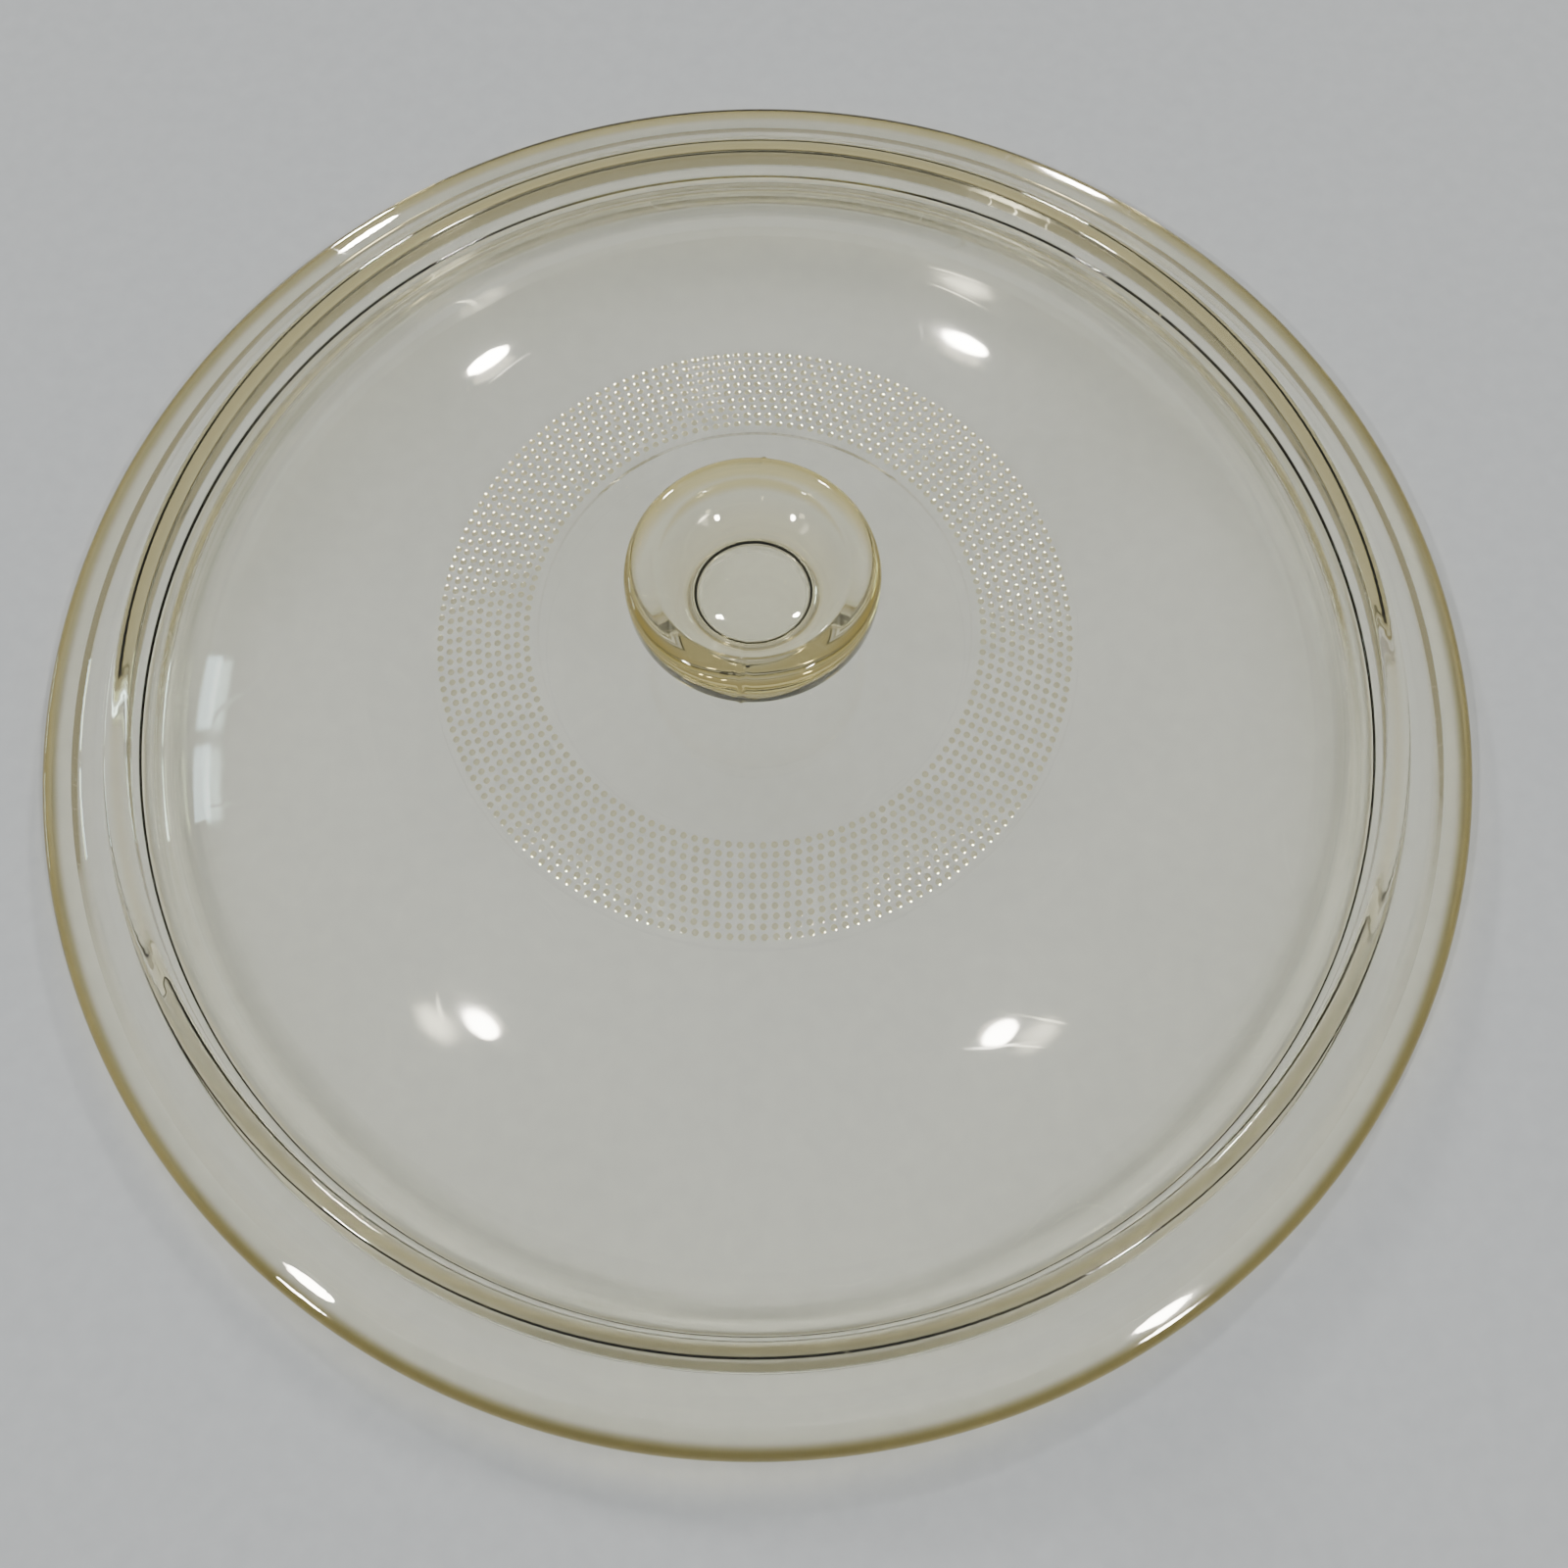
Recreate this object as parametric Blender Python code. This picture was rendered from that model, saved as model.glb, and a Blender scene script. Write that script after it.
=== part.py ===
"""Clear pressed-glass casserole lid with a spool-shaped knob.

Metres, +Z up.  The origin is on the lid's axis, in the plane that the rim rests on.
The real lid is one pressing.  It is modelled here as its seven regions, each a separate
closed ring or turned solid, parted by a hairline gap where the pressing's own outline
changes: knob lip, knob neck, centre disc, dimpled band, dome, locating wall and rim flange.
Every region is a cross-section in (radius, height), turned about the axis.
"""

import math

import bmesh
import bpy
from mathutils import Vector

# ---- driving dimensions, in metres --------------------------------------------------
RIM_RADIUS = 0.120            # outside of the flange
RIM_THICKNESS = 0.0044        # rounded outer edge
REST_INNER_RADIUS = 0.1150    # flat ring that the lid rests on
GLASS = 0.0045                # wall of the dome and the crown
FLANGE_GLASS = 0.0038         # wall of the flange, square to its slope

DOME_FOOT_RADIUS = 0.1025     # where the dome meets the locating wall
GROOVE_FLOOR = 0.0050         # height of that corner
CROWN_HEIGHT = 0.0319         # top of the dome's curve, on the axis
DOME_POWER = 3.5              # flat crown, steep foot

BAND_INNER_RADIUS = 0.0328    # dimpled band round the centre disc
BAND_OUTER_RADIUS = 0.0493
BAND_RISE = 0.0004            # the band stands this far above the dome's curve

SHOULDER = (0.1032, 0.0142)   # sharp corner that the shoulder's arc rounds off
FLANGE_KNEE = (0.1124, 0.0063)  # where the steep part of the flange meets the brim
GROOVE_ROUND = 0.0010
SHOULDER_ROUND = 0.0022
KNEE_ROUND = 0.0080
EDGE_ROUND = 0.0020           # both corners of the outer edge
WALL_OUTER_RADIUS = 0.1062    # far face of the locating wall, inside the flange
WALL_TAPER = 0.0008           # it leans inwards by this much on its way down
FOOT_HEIGHT = 0.0005          # the locating wall ends this far above the rest plane
CHANNEL_ROUND = 0.0004
FOOT_OUTER_ROUND = 0.0004
FOOT_INNER_ROUND = 0.0008

NECK_BASE_RADIUS = 0.0121
NECK_RADIUS = 0.0093
LIP_RADIUS = 0.0181
LIP_INNER_RADIUS = 0.0136
LIP_TOP = 0.0520
LIP_UNDERSIDE = 0.0452
LIP_INNER_ROUND = 0.0010
LIP_UPPER_ROUND = 0.0026
LIP_LOWER_ROUND = 0.0022
LIP_UNDERCUT = 0.0006         # the lip's lowest corner is this far above its underside
RECESS_DEPTH = 0.0056         # bowl in the top of the knob
WAIST_SHARE = 0.42            # height of the narrowest place, as a share of the waist
BASE_FLARE = 3.0              # how suddenly the waist swells into the disc
LIP_FLARE = 2.2               # and into the lip
FLARE_INSET = 0.0016          # the flare meets the lip this far inside its edge

NECK_TOP = 0.0425             # where the neck is parted from the lip
DOME_END = 0.0995             # where the dome is parted from the locating wall
FLANGE_START = 0.1070         # where the locating wall is parted from the flange
GAP = 0.0003                  # hairline between neighbouring regions
SEGMENTS = 60                 # facets round the axis
ARC_STEP = math.radians(30)   # facets of the rounded corners


# ---- outlines ------------------------------------------------------------------------
def dome_top(radius):
    """Height of the dome's outer curve."""
    rise = CROWN_HEIGHT - GROOVE_FLOOR
    return GROOVE_FLOOR + rise * (1 - (radius / DOME_FOOT_RADIUS) ** DOME_POWER)


def dome_slope(radius):
    """How steeply the dome falls, as an angle."""
    rise = CROWN_HEIGHT - GROOVE_FLOOR
    fall = rise * DOME_POWER * (radius / DOME_FOOT_RADIUS) ** (DOME_POWER - 1)
    return math.atan(fall / DOME_FOOT_RADIUS)


def under_dome(radius):
    """Point on the inner surface, square below the outer curve at this radius."""
    angle = dome_slope(radius)
    return (radius - GLASS * math.sin(angle), dome_top(radius) - GLASS * math.cos(angle))


def stations(start, end, count):
    """Evenly spaced values from start to end, both included."""
    return [start + (end - start) * i / count for i in range(count + 1)]


def rounded(corners):
    """Outline through corners (radius, height, rounding), with an arc at each rounding."""
    points = []
    for i, (x, z, size) in enumerate(corners):
        corner = Vector((x, z))
        if size == 0:
            points.append((x, z))
            continue
        before = (Vector(corners[i - 1][:2]) - corner).normalized()
        after = (Vector(corners[(i + 1) % len(corners)][:2]) - corner).normalized()
        half = before.angle(after) / 2
        centre = corner + (before + after).normalized() * (size / math.sin(half))
        start = corner + before * (size / math.tan(half)) - centre
        turn = start.angle_signed(corner + after * (size / math.tan(half)) - centre)
        count = max(2, math.ceil(abs(turn) / ARC_STEP))
        for k in range(count + 1):
            angle = -turn * k / count
            points.append((
                centre.x + start.x * math.cos(angle) - start.y * math.sin(angle),
                centre.y + start.x * math.sin(angle) + start.y * math.cos(angle),
            ))
    return points


def flange_top(radius):
    """Height of the flange's steep outer face, between the shoulder and the knee."""
    share = (radius - SHOULDER[0]) / (FLANGE_KNEE[0] - SHOULDER[0])
    return SHOULDER[1] + share * (FLANGE_KNEE[1] - SHOULDER[1])


def flange_drop():
    """Height of the flange's glass, measured straight down through its steep part."""
    slope = math.atan2(SHOULDER[1] - FLANGE_KNEE[1], FLANGE_KNEE[0] - SHOULDER[0])
    return FLANGE_GLASS / math.cos(slope)


def knob_flare(height):
    """Radius of the knob's waist: it swells to the disc below and to the lip above."""
    middle = CROWN_HEIGHT + WAIST_SHARE * (LIP_UNDERSIDE - CROWN_HEIGHT)
    if height < middle:
        share = (middle - height) / (middle - CROWN_HEIGHT)
        return NECK_RADIUS + (NECK_BASE_RADIUS - NECK_RADIUS) * share ** BASE_FLARE
    share = (height - middle) / (LIP_UNDERSIDE - middle)
    return NECK_RADIUS + (LIP_RADIUS - FLARE_INSET - NECK_RADIUS) * share ** LIP_FLARE


# ---- solids ---------------------------------------------------------------------------
def glass(name, colour):
    """Clear glass with a faint tint of its own, so the regions can be told apart."""
    material = bpy.data.materials.new(name)
    material.use_nodes = True
    shader = material.node_tree.nodes["Principled BSDF"]
    shader.inputs["Base Color"].default_value = (*colour, 1)
    shader.inputs["Roughness"].default_value = 0.03
    shader.inputs["Metallic"].default_value = 0
    shader.inputs["IOR"].default_value = 1.47
    shader.inputs["Transmission Weight"].default_value = 0.9
    return material


def turned(name, outline, colour, on_axis=False):
    """Solid of revolution.  A closed outline makes a ring; on_axis closes it at radius 0."""
    mesh = bpy.data.meshes.new(name)
    work = bmesh.new()
    verts = [work.verts.new((x, 0, z)) for x, z in outline]
    pairs = list(zip(verts, verts[1:]))
    if not on_axis:
        pairs.append((verts[-1], verts[0]))
    edges = [work.edges.new(pair) for pair in pairs]
    bmesh.ops.spin(
        work, geom=verts + edges, cent=(0, 0, 0), axis=(0, 0, 1), dvec=(0, 0, 0),
        angle=2 * math.pi, steps=SEGMENTS, use_merge=True, use_duplicate=False,
    )
    bmesh.ops.remove_doubles(work, verts=work.verts, dist=1e-7)
    bmesh.ops.recalc_face_normals(work, faces=work.faces)
    work.to_mesh(mesh)
    work.free()
    mesh.materials.append(glass(name, colour))
    mesh.shade_smooth()
    mesh.set_sharp_from_angle(angle=math.radians(35))
    part = bpy.data.objects.new(name, mesh)
    bpy.context.collection.objects.link(part)
    return part


def centre_disc():
    """Smooth disc under the knob, a step lower than the dimpled band."""
    edge = BAND_INNER_RADIUS - GAP / 2
    radii = stations(0, edge, 3)
    upper = [(r, dome_top(r)) for r in radii]
    lower = [(r, dome_top(r) - GLASS) for r in reversed(radii)]
    return turned("centre_disc", upper + lower, (0.93, 0.94, 0.90), on_axis=True)


def dimpled_band():
    """Raised annulus that carries the dimples; its edges are small steps."""
    radii = stations(BAND_INNER_RADIUS + GAP / 2, BAND_OUTER_RADIUS - GAP / 2, 3)
    upper = [(r, dome_top(r) + BAND_RISE) for r in radii]
    lower = [(r, dome_top(r) - GLASS) for r in reversed(radii)]
    return turned("dimpled_band", upper + lower, (0.88, 0.90, 0.86))


def dome_shell():
    """The dome, from the band to just above its foot."""
    start = BAND_OUTER_RADIUS + GAP / 2
    radii = stations(start, DOME_END, 10)
    upper = [(r, dome_top(r)) for r in radii]
    lower = [under_dome(r) for r in reversed(radii[1:])] + [(start, dome_top(start) - GLASS)]
    return turned("dome_shell", upper + lower, (0.94, 0.95, 0.92))


def locating_wall():
    """Foot of the dome, the upright wall beside it and the shoulder on top."""
    start = DOME_END + GAP / math.cos(dome_slope(DOME_FOOT_RADIUS))
    outer = FLANGE_START - GAP / 2
    inner_x, inner_z = under_dome(start)
    corners = [
        (start, dome_top(start), 0),
        (DOME_FOOT_RADIUS, GROOVE_FLOOR, GROOVE_ROUND),
        (*SHOULDER, SHOULDER_ROUND),
        (outer, flange_top(outer), 0),
        (outer, flange_top(outer) - flange_drop(), 0),
        (WALL_OUTER_RADIUS, flange_top(WALL_OUTER_RADIUS) - flange_drop(), CHANNEL_ROUND),
        (WALL_OUTER_RADIUS - WALL_TAPER, FOOT_HEIGHT, FOOT_OUTER_ROUND),
        (inner_x + (inner_z - FOOT_HEIGHT), FOOT_HEIGHT, FOOT_INNER_ROUND),
        (inner_x, inner_z, 0),
    ]
    return turned("locating_wall", rounded(corners), (0.86, 0.87, 0.78))


def rim_flange():
    """Sloping flange with a flatter brim and a rounded outer edge."""
    inner = FLANGE_START + GAP / 2
    corners = [
        (inner, flange_top(inner), 0),
        (*FLANGE_KNEE, KNEE_ROUND),
        (RIM_RADIUS, RIM_THICKNESS, EDGE_ROUND),
        (RIM_RADIUS, 0, EDGE_ROUND),
        (REST_INNER_RADIUS, 0, 0),
        (inner, flange_top(inner) - flange_drop(), 0),
    ]
    return turned("rim_flange", rounded(corners), (0.84, 0.84, 0.70))


def knob_neck():
    """Solid waist of the knob."""
    heights = stations(CROWN_HEIGHT + GAP, NECK_TOP - GAP / 2, 7)
    side = [(knob_flare(z), z) for z in reversed(heights)]
    outline = [(0, heights[-1])] + side + [(0, heights[0])]
    return turned("knob_neck", outline, (0.92, 0.92, 0.84), on_axis=True)


def knob_lip():
    """Flared top of the knob: a rounded lip round a bowl-shaped recess."""
    bowl = (LIP_INNER_RADIUS ** 2 + RECESS_DEPTH ** 2) / (2 * RECESS_DEPTH)
    reach = math.asin(LIP_INNER_RADIUS / bowl)
    floor = LIP_TOP - RECESS_DEPTH
    angles = stations(0, reach, 6)
    recess = [(bowl * math.sin(a), floor + bowl * (1 - math.cos(a))) for a in angles]
    heights = stations(LIP_UNDERSIDE, NECK_TOP + GAP / 2, 3)
    side = [(knob_flare(z), z) for z in heights]
    over = rounded([
        (*recess[-2], 0),
        (LIP_INNER_RADIUS, LIP_TOP, LIP_INNER_ROUND),
        (LIP_RADIUS, LIP_TOP, LIP_UPPER_ROUND),
        (LIP_RADIUS, LIP_UNDERSIDE + LIP_UNDERCUT, LIP_LOWER_ROUND),
        (*side[1], 0),
    ])
    outline = recess[:-2] + over + side[2:] + [(0, side[-1][1])]
    return turned("knob_lip", outline, (0.85, 0.84, 0.66), on_axis=True)


def main():
    for old in list(bpy.data.objects):
        bpy.data.objects.remove(old)
    centre_disc()
    dimpled_band()
    dome_shell()
    locating_wall()
    rim_flange()
    knob_neck()
    knob_lip()


main()
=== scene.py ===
import math

import bmesh
import bpy
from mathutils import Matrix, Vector


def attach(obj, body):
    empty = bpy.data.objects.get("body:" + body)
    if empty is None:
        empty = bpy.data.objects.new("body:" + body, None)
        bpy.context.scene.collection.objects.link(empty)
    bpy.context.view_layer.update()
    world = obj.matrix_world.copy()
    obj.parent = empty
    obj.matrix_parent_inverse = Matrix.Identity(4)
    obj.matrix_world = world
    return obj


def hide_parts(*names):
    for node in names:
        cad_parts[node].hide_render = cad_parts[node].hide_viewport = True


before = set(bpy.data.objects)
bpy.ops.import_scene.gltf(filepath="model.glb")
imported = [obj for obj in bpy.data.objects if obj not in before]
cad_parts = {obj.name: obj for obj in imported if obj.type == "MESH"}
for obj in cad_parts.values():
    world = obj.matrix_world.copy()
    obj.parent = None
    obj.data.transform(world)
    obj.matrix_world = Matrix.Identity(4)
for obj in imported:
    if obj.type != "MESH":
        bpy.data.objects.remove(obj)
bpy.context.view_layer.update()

# ---- the CAD's dimensions, in metres -------------------------------------------------
RIM_RADIUS = 0.120
RIM_THICKNESS = 0.0044
REST_INNER_RADIUS = 0.1150
GLASS = 0.0045
FLANGE_GLASS = 0.0038
DOME_FOOT_RADIUS = 0.1025
GROOVE_FLOOR = 0.0050
CROWN_HEIGHT = 0.0319
DOME_POWER = 3.5
BAND_INNER_RADIUS = 0.0328
BAND_OUTER_RADIUS = 0.0493
BAND_RISE = 0.0004
SHOULDER = (0.1032, 0.0142)
FLANGE_KNEE = (0.1124, 0.0063)
GROOVE_ROUND = 0.0010
SHOULDER_ROUND = 0.0022
KNEE_ROUND = 0.0080
WALL_OUTER_RADIUS = 0.1062
WALL_TAPER = 0.0008
FOOT_HEIGHT = 0.0005
CHANNEL_ROUND = 0.0004
FOOT_OUTER_ROUND = 0.0004
FOOT_INNER_ROUND = 0.0008
NECK_BASE_RADIUS = 0.0121
NECK_RADIUS = 0.0093
LIP_RADIUS = 0.0181
LIP_INNER_RADIUS = 0.0136
LIP_TOP = 0.0520
LIP_UNDERSIDE = 0.0452
LIP_INNER_ROUND = 0.0010
LIP_UPPER_ROUND = 0.0026
LIP_LOWER_ROUND = 0.0022
LIP_UNDERCUT = 0.0006         # the lip's lowest corner is this far above its underside
RECESS_DEPTH = 0.0056
WAIST_SHARE = 0.42            # height of the narrowest place, as a share of the waist
BASE_FLARE = 3
LIP_FLARE = 2.2
FLARE_INSET = 0.0016

# ---- finer shape, which the CAD leaves out ---------------------------------------------
ARC_STEP = math.radians(12)
SHARP = math.radians(25)      # the band's edges are crisp, the rounded corners aren't
LONGEST_STRAIGHT = 0.0007
BRIM_BEND = (0.1162, 0.00517, 0.030)  # the brim levels off a little towards the rim
EDGE_ROUND = RIM_THICKNESS * 0.45
REST_ROUND = 0.0004           # inner edge of the flat that the lid rests on
CHANNEL_END = FLANGE_KNEE[0] - 0.0054  # where the channel's roof meets the flange
DOME_END = DOME_FOOT_RADIUS - 0.003    # the outline's corners take over from the curve here
STEP_HALF_WIDTH = 0.00014     # the band's edges are small slopes
NECK_FILLET = 0.0012
FILLET_REACH = 0.004          # the disc's own curve starts this far outside the neck
RECESS_REACH = 0.93           # share of the bowl left plain, below the lip's inner rounding
DOT_ROWS = 10
DOT_OUTER_ROW = 0.0478        # radius of the outermost row of dots
DOT_ROW_STEP = 0.00147
DOTS_IN_OUTER_ROW = 180
DOT_RADIUS = 0.00050
DOT_HEIGHT = 0.00009
DOT_LIFT = 0.00003            # keeps the dots' own surfaces clear of the band's
SEAMS = (math.radians(-95), math.radians(85))  # where the two halves of the mould met
SEAM_HALF_WIDTH = 0.00035
KNOB_SEAM_RISE = 0.00022
SEAM_SPOKES = (-2.2, -1.6, -1.1, -0.6, 0, 0.6, 1.1, 1.6, 2.2)  # degrees from each seam
SPOKE_CLEARANCE = math.radians(0.35)
DISC_SEAM_RISE = 0.00007
TURNS_ROUND = 288


def dome_top(radius):
    """Height of the dome's outer curve."""
    rise = CROWN_HEIGHT - GROOVE_FLOOR
    return GROOVE_FLOOR + rise * (1 - (radius / DOME_FOOT_RADIUS) ** DOME_POWER)


def dome_slope(radius):
    """How steeply the dome falls, as an angle."""
    rise = CROWN_HEIGHT - GROOVE_FLOOR
    fall = rise * DOME_POWER * (radius / DOME_FOOT_RADIUS) ** (DOME_POWER - 1)
    return math.atan(fall / DOME_FOOT_RADIUS)


def under_dome(radius):
    """Point on the inner surface, square below the outer curve at this radius."""
    angle = dome_slope(radius)
    return (radius - GLASS * math.sin(angle), dome_top(radius) - GLASS * math.cos(angle))


def stations(start, end, count):
    """Evenly spaced values from start to end, both included."""
    return [start + (end - start) * i / count for i in range(count + 1)]


def rounded(corners):
    """Outline through corners (radius, height, rounding), with an arc at each rounding."""
    points = []
    for i, (x, z, size) in enumerate(corners):
        corner = Vector((x, z))
        if size == 0:
            points.append((x, z))
            continue
        before = (Vector(corners[i - 1][:2]) - corner).normalized()
        after = (Vector(corners[(i + 1) % len(corners)][:2]) - corner).normalized()
        half = before.angle(after) / 2
        centre = corner + (before + after).normalized() * (size / math.sin(half))
        start = corner + before * (size / math.tan(half)) - centre
        turn = start.angle_signed(corner + after * (size / math.tan(half)) - centre)
        count = max(3, math.ceil(abs(turn) / ARC_STEP))
        for k in range(count + 1):
            angle = -turn * k / count
            points.append((
                centre.x + start.x * math.cos(angle) - start.y * math.sin(angle),
                centre.y + start.x * math.sin(angle) + start.y * math.cos(angle),
            ))
    return points


def split_straights(outline):
    """The same outline with long straights cut up, so that they shade as straight."""
    points = [outline[0]]
    for (x0, z0), (x1, z1) in zip(outline, outline[1:]):
        parts = min(max(1, math.ceil(math.dist((x0, z0), (x1, z1)) / LONGEST_STRAIGHT)), 5)
        points += [(x0 + (x1 - x0) * k / parts, z0 + (z1 - z0) * k / parts)
                   for k in range(1, parts + 1)]
    return points


def flange_top(radius):
    """Height of the flange's steep outer face."""
    share = (radius - SHOULDER[0]) / (FLANGE_KNEE[0] - SHOULDER[0])
    return SHOULDER[1] + share * (FLANGE_KNEE[1] - SHOULDER[1])


def flange_drop():
    """Height of the flange's glass, measured straight down through its steep part."""
    slope = math.atan2(SHOULDER[1] - FLANGE_KNEE[1], FLANGE_KNEE[0] - SHOULDER[0])
    return FLANGE_GLASS / math.cos(slope)


def knob_flare(height):
    """Radius of the knob's waist: it swells to the disc below and to the lip above."""
    middle = CROWN_HEIGHT + WAIST_SHARE * (LIP_UNDERSIDE - CROWN_HEIGHT)
    if height < middle:
        share = (middle - height) / (middle - CROWN_HEIGHT)
        return NECK_RADIUS + (NECK_BASE_RADIUS - NECK_RADIUS) * share ** BASE_FLARE
    share = (height - middle) / (LIP_UNDERSIDE - middle)
    return NECK_RADIUS + (LIP_RADIUS - FLARE_INSET - NECK_RADIUS) * share ** LIP_FLARE


# ---- outline of the whole lid: knob and disc, then dome, rim and underside --------------
def knob_and_disc():
    bowl = (LIP_INNER_RADIUS ** 2 + RECESS_DEPTH ** 2) / (2 * RECESS_DEPTH)
    reach = math.asin(LIP_INNER_RADIUS / bowl)
    floor = LIP_TOP - RECESS_DEPTH
    recess = [
        (bowl * math.sin(a), floor + bowl * (1 - math.cos(a)))
        for a in stations(0, reach * RECESS_REACH, 14)
    ]
    heights = stations(LIP_UNDERSIDE - 0.0004, CROWN_HEIGHT + 0.0012, 16)
    neck = [(knob_flare(z), z) for z in heights]
    lip = rounded([
        (*recess[-1], 0),
        (LIP_INNER_RADIUS, LIP_TOP, LIP_INNER_ROUND),
        (LIP_RADIUS, LIP_TOP, LIP_UPPER_ROUND),
        (LIP_RADIUS, LIP_UNDERSIDE + LIP_UNDERCUT, LIP_LOWER_ROUND),
        (*neck[3], 0),
    ])
    disc_edge = BAND_INNER_RADIUS - STEP_HALF_WIDTH
    first = NECK_BASE_RADIUS + FILLET_REACH
    base = rounded([
        (*neck[-1], 0),
        (NECK_BASE_RADIUS, dome_top(NECK_BASE_RADIUS), NECK_FILLET),
        (first, dome_top(first), 0),
    ])
    disc = [(r, dome_top(r)) for r in stations(first, disc_edge, 8)]
    return recess[:-1] + lip + neck[4:-1] + base + disc[1:] + [band_edge(BAND_INNER_RADIUS, 1)]


def band_edge(radius, side):
    """Top of the small slope at an edge of the dimpled band."""
    inside = radius + side * STEP_HALF_WIDTH
    return (inside, dome_top(inside) + BAND_RISE)


def dome_and_rim():
    start = BAND_OUTER_RADIUS + STEP_HALF_WIDTH
    dome = [(r, dome_top(r)) for r in stations(start, DOME_END, 30)]
    inner_x, inner_z = under_dome(DOME_END + 0.0004)
    rim = rounded([
        (*dome[-1], 0),
        (DOME_FOOT_RADIUS, GROOVE_FLOOR, GROOVE_ROUND),
        (*SHOULDER, SHOULDER_ROUND),
        (*FLANGE_KNEE, KNEE_ROUND),
        BRIM_BEND,
        (RIM_RADIUS, RIM_THICKNESS, EDGE_ROUND),
        (RIM_RADIUS, 0, EDGE_ROUND),
        (REST_INNER_RADIUS, 0, REST_ROUND),
        (CHANNEL_END, flange_top(CHANNEL_END) - flange_drop(), 0),
        (WALL_OUTER_RADIUS, flange_top(WALL_OUTER_RADIUS) - flange_drop(), CHANNEL_ROUND),
        (WALL_OUTER_RADIUS - WALL_TAPER, FOOT_HEIGHT, FOOT_OUTER_ROUND),
        (inner_x + (inner_z - FOOT_HEIGHT), FOOT_HEIGHT, FOOT_INNER_ROUND),
        (inner_x, inner_z, 0),
    ])
    under = [under_dome(r) for r in stations(DOME_END, 0.006, 30)]
    return (
        [band_edge(BAND_OUTER_RADIUS, -1)] + dome[:-1] + split_straights(rim) + under
        + [(0, CROWN_HEIGHT - GLASS)]
    )


# ---- one continuous glass surface --------------------------------------------------------
def turn_angles():
    """Evenly spaced directions, with closer ones at the two mould seams."""
    even = [2 * math.pi * i / TURNS_ROUND for i in range(TURNS_ROUND)]
    offsets = [math.radians(d) for d in SEAM_SPOKES]
    close = [(seam + d) % (2 * math.pi) for seam in SEAMS for d in offsets]
    keep = [a for a in even if min(abs(a - c) for c in close) > SPOKE_CLEARANCE]
    return sorted(keep + close)


def seam_share(radius, angle):
    """1 on a mould seam, falling to 0 beside it."""
    nearest = min(abs((angle - seam + math.pi) % (2 * math.pi) - math.pi) for seam in SEAMS)
    return math.exp(-((radius * nearest / SEAM_HALF_WIDTH) ** 2))


def lid_point(radius, height, angle, outer):
    """A point of the turned surface, raised a little where it crosses a seam."""
    share = seam_share(radius, angle) if outer else 0
    if share > 0 and height > CROWN_HEIGHT + 0.0008:
        out = min(radius / LIP_INNER_RADIUS, 1) ** 4
        side = 1 if height < LIP_TOP - 0.0012 else 0
        radius += share * out * side * KNOB_SEAM_RISE
        height -= share * out * (1 - side) * KNOB_SEAM_RISE * 0.6
    elif share > 0 and radius < BAND_INNER_RADIUS:
        height += share * DISC_SEAM_RISE
    return (radius * math.cos(angle), radius * math.sin(angle), height)


def add_turned(work, outline, angles, outer_until):
    """Adds a turned strip to the mesh.  A point on the axis becomes one vertex."""
    previous = None
    for count, (radius, height) in enumerate(outline):
        if radius < 1e-6:
            ring = [work.verts.new((0, 0, height))] * len(angles)
        else:
            outer = count < outer_until
            ring = [work.verts.new(lid_point(radius, height, a, outer)) for a in angles]
        if previous:
            for i in range(len(angles)):
                j = (i + 1) % len(angles)
                corners = [previous[i], previous[j], ring[j], ring[i]]
                work.faces.new(list(dict.fromkeys(corners)))
        previous = ring


def make_dots():
    """Rows of small raised dots on the band, each a low cap with a closed underside."""
    work = bmesh.new()
    for row in range(DOT_ROWS):
        radius = DOT_OUTER_ROW - row * DOT_ROW_STEP
        count = round(DOTS_IN_OUTER_ROW * radius / DOT_OUTER_ROW)
        for i in range(count):
            angle = 2 * math.pi * (i + 0.37 * row) / count
            middle = Vector((radius * math.cos(angle), radius * math.sin(angle)))
            rings = [[dot_vertex(work, middle, 0)]]
            for share, spokes in ((0.45, 6), (0.80, 12), (1.0, 12)):
                turns = [2 * math.pi * k / spokes for k in range(spokes)]
                reach = [share * DOT_RADIUS * Vector((math.cos(t), math.sin(t))) for t in turns]
                rings.append([dot_vertex(work, middle + r, share) for r in reach])
            for inner, outer in zip(rings, rings[1:]):
                step = len(outer) // len(inner)
                for k in range(len(outer)):
                    j = (k + 1) % len(outer)
                    face = [outer[k], outer[j], inner[j // step % len(inner)], inner[k // step]]
                    work.faces.new(list(dict.fromkeys(face)))
            work.faces.new(list(reversed(rings[-1])))
    bmesh.ops.recalc_face_normals(work, faces=work.faces)
    return finished(work, "band_dots")


def dot_vertex(work, point, share):
    """A vertex of a dot's cap, where share is 0 in the dot's middle and 1 at its edge."""
    height = dome_top(point.length) + BAND_RISE + DOT_LIFT + DOT_HEIGHT * (1 - share * share)
    return work.verts.new((point.x, point.y, height))


def finished(work, name):
    """Turns the mesh being built into an object."""
    mesh = bpy.data.meshes.new(name)
    work.to_mesh(mesh)
    work.free()
    mesh.shade_smooth()
    mesh.set_sharp_from_angle(angle=SHARP)
    made = bpy.data.objects.new(name, mesh)
    bpy.context.collection.objects.link(made)
    return made


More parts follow.
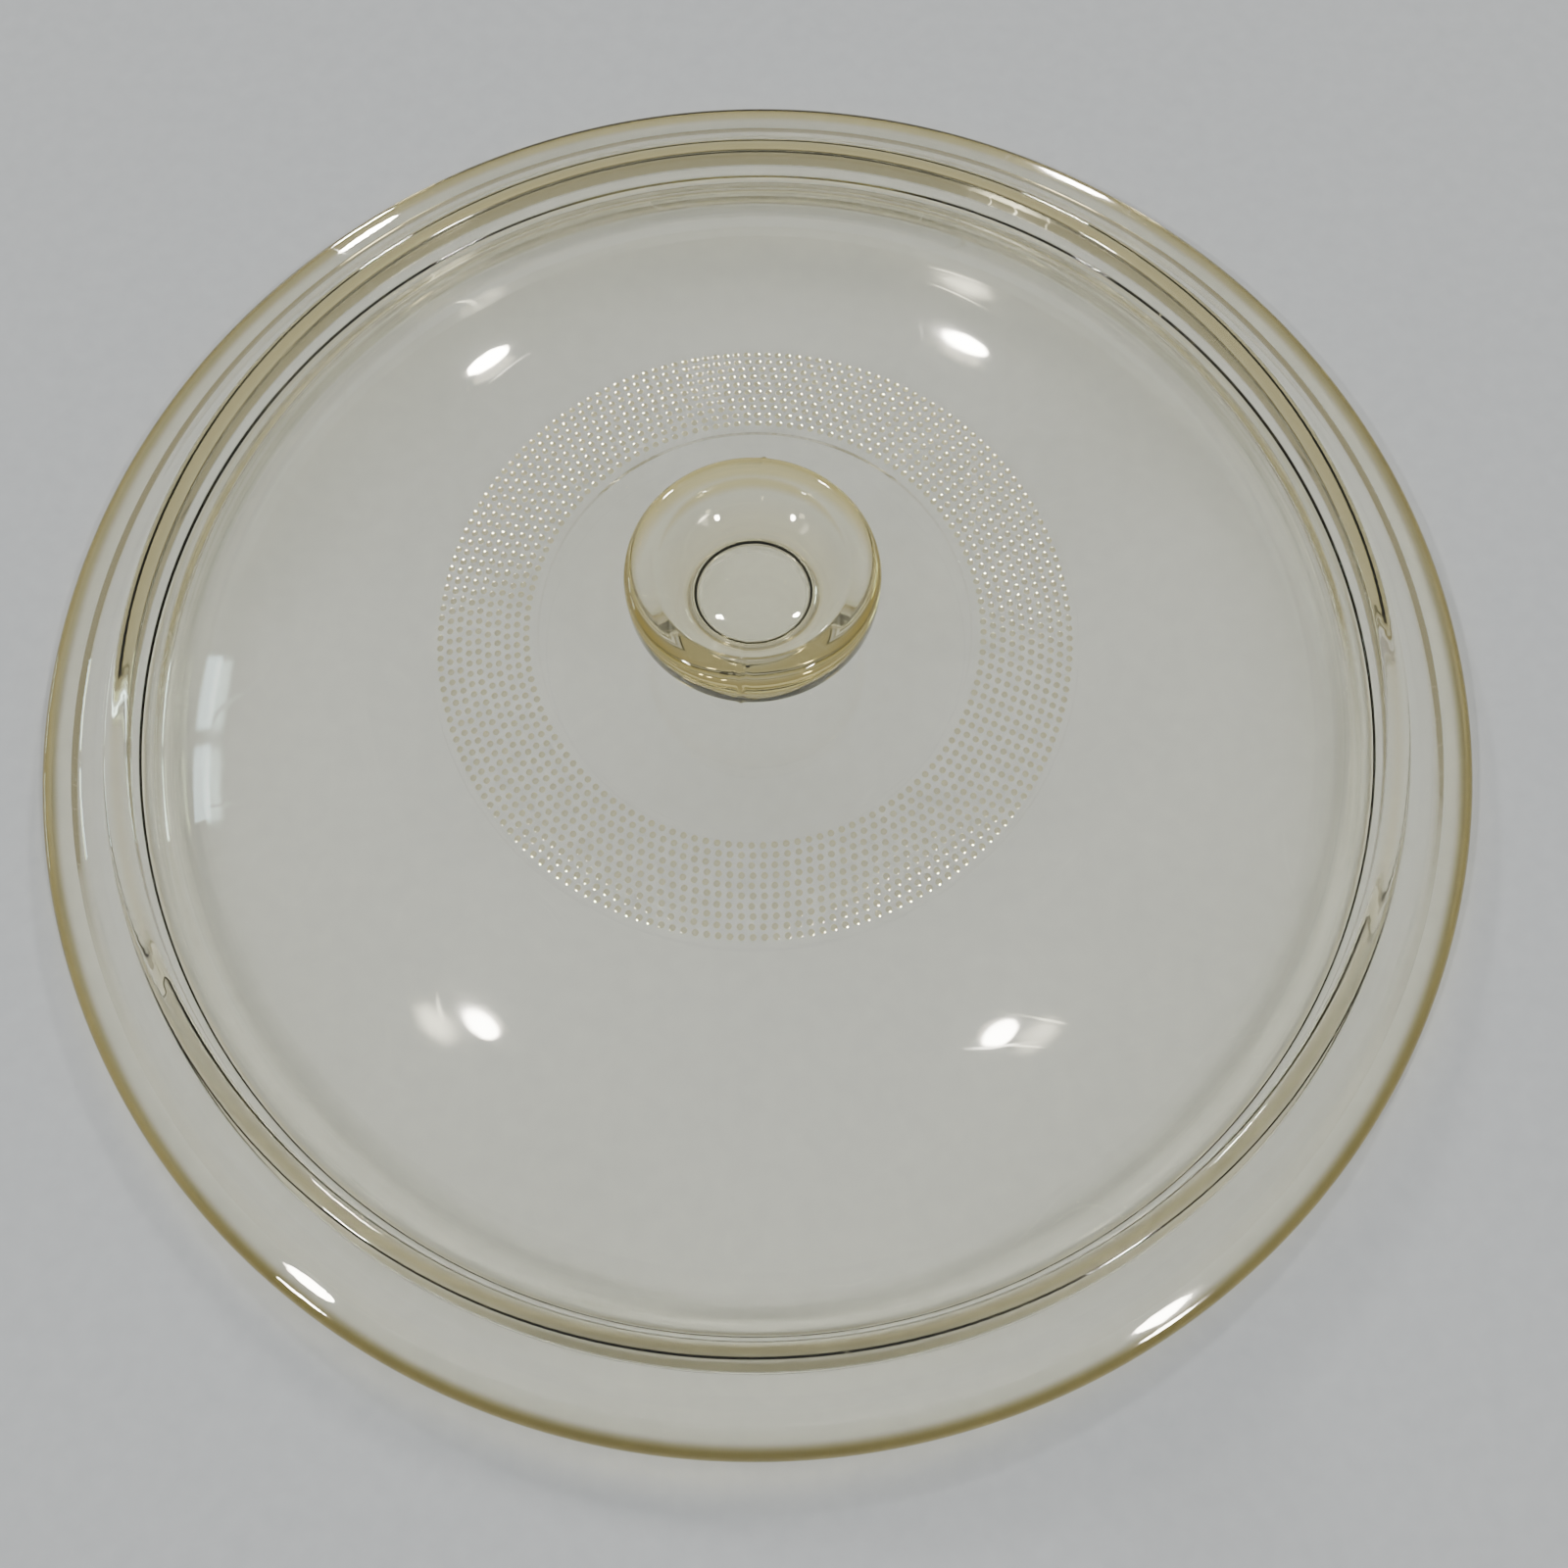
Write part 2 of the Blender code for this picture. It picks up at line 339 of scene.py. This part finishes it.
def make_lid():
    """The whole lid as one turned surface: knob, disc, band, dome, rim and underside."""
    angles = turn_angles()
    crown = knob_and_disc()
    inner, outer = band_edge(BAND_INNER_RADIUS, 1)[0], band_edge(BAND_OUTER_RADIUS, -1)[0]
    band = [(r, dome_top(r) + BAND_RISE) for r in stations(inner, outer, 10)]
    work = bmesh.new()
    add_turned(work, crown[:-1] + band[:-1] + dome_and_rim(), angles, len(crown) - 1)
    bmesh.ops.recalc_face_normals(work, faces=work.faces)
    return finished(work, "lid_glass")


# ---- materials --------------------------------------------------------------------------
def node(tree, kind, **values):
    made = tree.nodes.new(kind)
    for name, value in values.items():
        setattr(made, name, value)
    return made


def maths(tree, operation, *values):
    """A Math node on numbers or sockets, and its result."""
    made = node(tree, "ShaderNodeMath", operation=operation)
    for slot, value in zip(made.inputs, values):
        if isinstance(value, (int, float)):
            slot.default_value = value
        else:
            tree.links.new(value, slot)
    return made.outputs[0]


def bell(tree, value, middle, half_width, flat=0):
    """1 where value is within flat of the middle, smoothly down to 0 at half_width from it."""
    away = maths(tree, "ABSOLUTE", maths(tree, "SUBTRACT", value, middle))
    fall = node(tree, "ShaderNodeMapRange", interpolation_type="SMOOTHSTEP")
    tree.links.new(away, fall.inputs["Value"])
    fall.inputs["From Min"].default_value = flat
    fall.inputs["From Max"].default_value = half_width
    fall.inputs["To Min"].default_value = 1
    fall.inputs["To Max"].default_value = 0
    return fall.outputs["Result"]


def turned_place(tree, place):
    """Distance from the axis and height, as sockets."""
    split = node(tree, "ShaderNodeSeparateXYZ")
    tree.links.new(place.outputs["Object"], split.inputs["Vector"])
    x, y, z = split.outputs
    squares = maths(tree, "ADD", maths(tree, "MULTIPLY", x, x), maths(tree, "MULTIPLY", y, y))
    return maths(tree, "SQRT", squares), z


def thick_glass_tint_and_rim_shade(tree, place):
    """Colour by where the glass is thick: straw tint in ridge and knob, and olive in the rim's
    edge, which is thick-glass tint darkened with painted shade.
    """
    radius, z = turned_place(tree, place)
    # painted shade: the rim's edge is darkened to olive for the shade seen in it, on top of the
    # thick-glass tint
    rim = bell(tree, radius, RIM_RADIUS, 0.0030, 0.0012)
    ridge = maths(tree, "MULTIPLY", bell(tree, radius, SHOULDER[0] + 0.0012, 0.0016), 0.5)
    lip = bell(tree, radius, LIP_RADIUS, 0.0025, 0.0009)
    high = maths(tree, "GREATER_THAN", z, LIP_UNDERSIDE - 0.002)
    lip = maths(tree, "MULTIPLY", lip, high)
    neck = maths(tree, "MULTIPLY", bell(tree, z, LIP_UNDERSIDE - 0.006, 0.007, 0.003), 0.45)
    neck = maths(tree, "MULTIPLY", neck, maths(tree, "LESS_THAN", radius, LIP_RADIUS))
    knob = maths(tree, "MAXIMUM", lip, neck)
    straw = node(tree, "ShaderNodeMix", data_type="RGBA")
    straw.inputs["A"].default_value = (0.985, 0.985, 0.975, 1)
    straw.inputs["B"].default_value = (0.82, 0.68, 0.28, 1)
    tree.links.new(maths(tree, "MAXIMUM", ridge, knob), straw.inputs["Factor"])
    # olive: thick-glass tint plus painted shade at the rim's edge
    olive_tint_and_painted_shade = node(tree, "ShaderNodeMix", data_type="RGBA")
    olive_tint_and_painted_shade.inputs["B"].default_value = (0.55, 0.47, 0.22, 1)
    tree.links.new(straw.outputs["Result"], olive_tint_and_painted_shade.inputs["A"])
    tree.links.new(rim, olive_tint_and_painted_shade.inputs["Factor"])
    return olive_tint_and_painted_shade.outputs["Result"]


def noise(tree, place, scale, detail):
    """A noise texture in the object's own coordinates."""
    made = node(tree, "ShaderNodeTexNoise")
    made.inputs["Scale"].default_value = scale
    made.inputs["Detail"].default_value = detail
    tree.links.new(place.outputs["Object"], made.inputs["Vector"])
    return made.outputs["Fac"]


def scratches(tree, place):
    """Fine curved hairlines, in patches."""
    lines = maths(tree, "FRACT", maths(tree, "MULTIPLY", noise(tree, place, 24, 0), 16))
    hair = bell(tree, lines, 0.5, 0.05)
    patches = node(tree, "ShaderNodeMapRange")
    patches.inputs["From Min"].default_value = 0.50
    patches.inputs["From Max"].default_value = 0.60
    tree.links.new(noise(tree, place, 75, 1), patches.inputs["Value"])
    return maths(tree, "MULTIPLY", hair, patches.outputs["Result"])


def clear_glass():
    material = bpy.data.materials.new("clear_glass_finish")
    material.use_nodes = True
    tree = material.node_tree
    link = tree.links.new
    shader = tree.nodes["Principled BSDF"]
    output = tree.nodes["Material Output"]
    shader.inputs["Transmission Weight"].default_value = 1
    shader.inputs["IOR"].default_value = 1.47
    shader.inputs["Metallic"].default_value = 0

    place = node(tree, "ShaderNodeTexCoord")
    link(thick_glass_tint_and_rim_shade(tree, place), shader.inputs["Base Color"])
    rough = node(tree, "ShaderNodeMapRange")
    rough.inputs["From Min"].default_value = 0.45
    rough.inputs["From Max"].default_value = 0.75
    rough.inputs["To Min"].default_value = 0.02
    rough.inputs["To Max"].default_value = 0.09
    link(noise(tree, place, 28, 4), rough.inputs["Value"])
    worn = maths(tree, "MULTIPLY", scratches(tree, place), 0.12)
    link(maths(tree, "ADD", rough.outputs["Result"], worn), shader.inputs["Roughness"])

    bump = node(tree, "ShaderNodeBump")
    bump.inputs["Strength"].default_value = 0.12
    bump.inputs["Distance"].default_value = 0.0002
    link(noise(tree, place, 70, 2), bump.inputs["Height"])
    link(bump.outputs["Normal"], shader.inputs["Normal"])

    clear = node(tree, "ShaderNodeBsdfTransparent")
    facing = node(tree, "ShaderNodeLayerWeight")
    shade = node(tree, "ShaderNodeMix", data_type="RGBA")
    shade.inputs["A"].default_value = (0.56, 0.56, 0.54, 1)
    shade.inputs["B"].default_value = (0.25, 0.24, 0.19, 1)
    edge = maths(tree, "POWER", facing.outputs["Facing"], 2.0)
    link(edge, shade.inputs["Factor"])
    link(shade.outputs["Result"], clear.inputs["Color"])
    path = node(tree, "ShaderNodeLightPath")
    mix = node(tree, "ShaderNodeMixShader")
    link(path.outputs["Is Shadow Ray"], mix.inputs[0])
    link(shader.outputs[0], mix.inputs[1])
    link(clear.outputs[0], mix.inputs[2])
    link(mix.outputs[0], output.inputs["Surface"])

    tint = node(tree, "ShaderNodeVolumeAbsorption")
    tint.inputs["Color"].default_value = (0.90, 0.86, 0.50, 1)
    tint.inputs["Density"].default_value = 24
    link(tint.outputs[0], output.inputs["Volume"])
    return material


def bright_dots():
    """Bright and partly see-through, so that the dots glitter near the lamps."""
    material = bpy.data.materials.new("dots_finish")
    material.use_nodes = True
    tree = material.node_tree
    shader = tree.nodes["Principled BSDF"]
    shader.inputs["Base Color"].default_value = (0.98, 0.95, 0.70, 1)
    shader.inputs["Metallic"].default_value = 1
    shader.inputs["Alpha"].default_value = 0.75
    place = node(tree, "ShaderNodeTexCoord")
    rough = node(tree, "ShaderNodeMapRange")
    rough.inputs["To Min"].default_value = 0.05
    rough.inputs["To Max"].default_value = 0.13
    tree.links.new(noise(tree, place, 500, 1), rough.inputs["Value"])
    tree.links.new(rough.outputs["Result"], shader.inputs["Roughness"])
    return material


def pale_floor():
    material = bpy.data.materials.new("pale_floor_finish")
    material.use_nodes = True
    tree = material.node_tree
    shader = tree.nodes["Principled BSDF"]
    shader.inputs["Roughness"].default_value = 0.9
    place = node(tree, "ShaderNodeTexCoord")
    ramp = node(tree, "ShaderNodeValToRGB")
    ramp.color_ramp.elements[0].color = (0.30, 0.325, 0.37, 1)
    ramp.color_ramp.elements[1].color = (0.35, 0.375, 0.425, 1)
    tree.links.new(noise(tree, place, 300, 3), ramp.inputs["Fac"])
    tree.links.new(ramp.outputs["Color"], shader.inputs["Base Color"])
    return material


# ---- room ---------------------------------------------------------------------------------
def make_floor():
    mesh = bpy.data.meshes.new("floor")
    half, drop = 8.0, -0.0003
    corners = [(-half, -half, drop), (half, -half, drop), (half, half, drop), (-half, half, drop)]
    mesh.from_pydata(corners, [], [(0, 1, 2, 3)])
    mesh.materials.append(pale_floor())
    floor = bpy.data.objects.new("floor", mesh)
    bpy.context.collection.objects.link(floor)
    return floor


def lamp(name, position, angular_radius, radiance, colour):
    """A round lamp facing the lid, of a given brightness and size as the lid sees it."""
    light = bpy.data.lights.new(name, "AREA")
    light.shape = "DISK"
    position = Vector(position)
    radius = math.tan(math.radians(angular_radius)) * position.length
    light.size = 2 * radius
    light.energy = 4 * math.pi * radius ** 2 * radiance
    light.color = colour
    holder = bpy.data.objects.new(name, light)
    holder.location = position
    holder.rotation_euler = position.to_track_quat("Z", "Y").to_euler()
    holder.visible_camera = False
    bpy.context.collection.objects.link(holder)


def panel(name, position, size, radiance, colour):
    """A flat bright panel facing the lid, such as a window."""
    light = bpy.data.lights.new(name, "AREA")
    light.shape = "RECTANGLE"
    light.size, light.size_y = size
    light.energy = 4 * size[0] * size[1] * radiance
    light.color = colour
    holder = bpy.data.objects.new(name, light)
    holder.location = position
    holder.rotation_euler = Vector(position).to_track_quat("Z", "Y").to_euler()
    holder.visible_camera = False
    bpy.context.collection.objects.link(holder)


def make_light():
    warm = (1.0, 0.95, 0.82)
    for name, position in (
        ("lamp_far_left", (-1.87, 3.46, 1.6)),
        ("lamp_far_right", (1.07, 2.92, 1.6)),
        ("lamp_near_left", (-1.19, -0.88, 1.6)),
        ("lamp_near_right", (0.95, -0.88, 1.6)),
    ):
        lamp(name, position, 2.2, 300, warm)
    for name, across in (("window_left", 0.36), ("window_right", 0.86)):
        panel(name, (-2.85, across, 0.24), (0.40, 0.26), 7, (0.74, 0.96, 1.0))
    world = bpy.data.worlds.new("soft_room")
    bpy.context.scene.world = world
    world.use_nodes = True
    tree = world.node_tree
    background = tree.nodes["Background"]
    place = node(tree, "ShaderNodeTexCoord")
    split = node(tree, "ShaderNodeSeparateXYZ")
    ramp = node(tree, "ShaderNodeValToRGB")
    ramp.color_ramp.elements[0].color = (0.36, 0.345, 0.29, 1)
    ramp.color_ramp.elements[1].color = (0.48, 0.49, 0.51, 1)
    tree.links.new(place.outputs["Generated"], split.inputs["Vector"])
    tree.links.new(split.outputs["Z"], ramp.inputs["Fac"])
    tree.links.new(ramp.outputs["Color"], background.inputs["Color"])
    background.inputs["Strength"].default_value = 1.0
    world.cycles.sampling_method = "NONE"


def make_camera():
    data = bpy.data.cameras.new("camera")
    data.sensor_width = 36
    data.lens = 34.67
    camera = bpy.data.objects.new("camera", data)
    camera.location = (0.0044, -0.0911, 0.2428)
    camera.rotation_euler = (math.radians(90 - 72.67), 0, 0)
    bpy.context.collection.objects.link(camera)
    bpy.context.scene.camera = camera


make_camera()
lid = make_lid()
lid.data.materials.append(clear_glass())
dots = make_dots()
dots.data.materials.append(bright_dots())
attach(lid, "root")
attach(dots, "root")
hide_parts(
    "centre_disc", "dimpled_band", "dome_shell", "locating_wall", "rim_flange",
    "knob_neck", "knob_lip",
)
make_floor()
make_light()
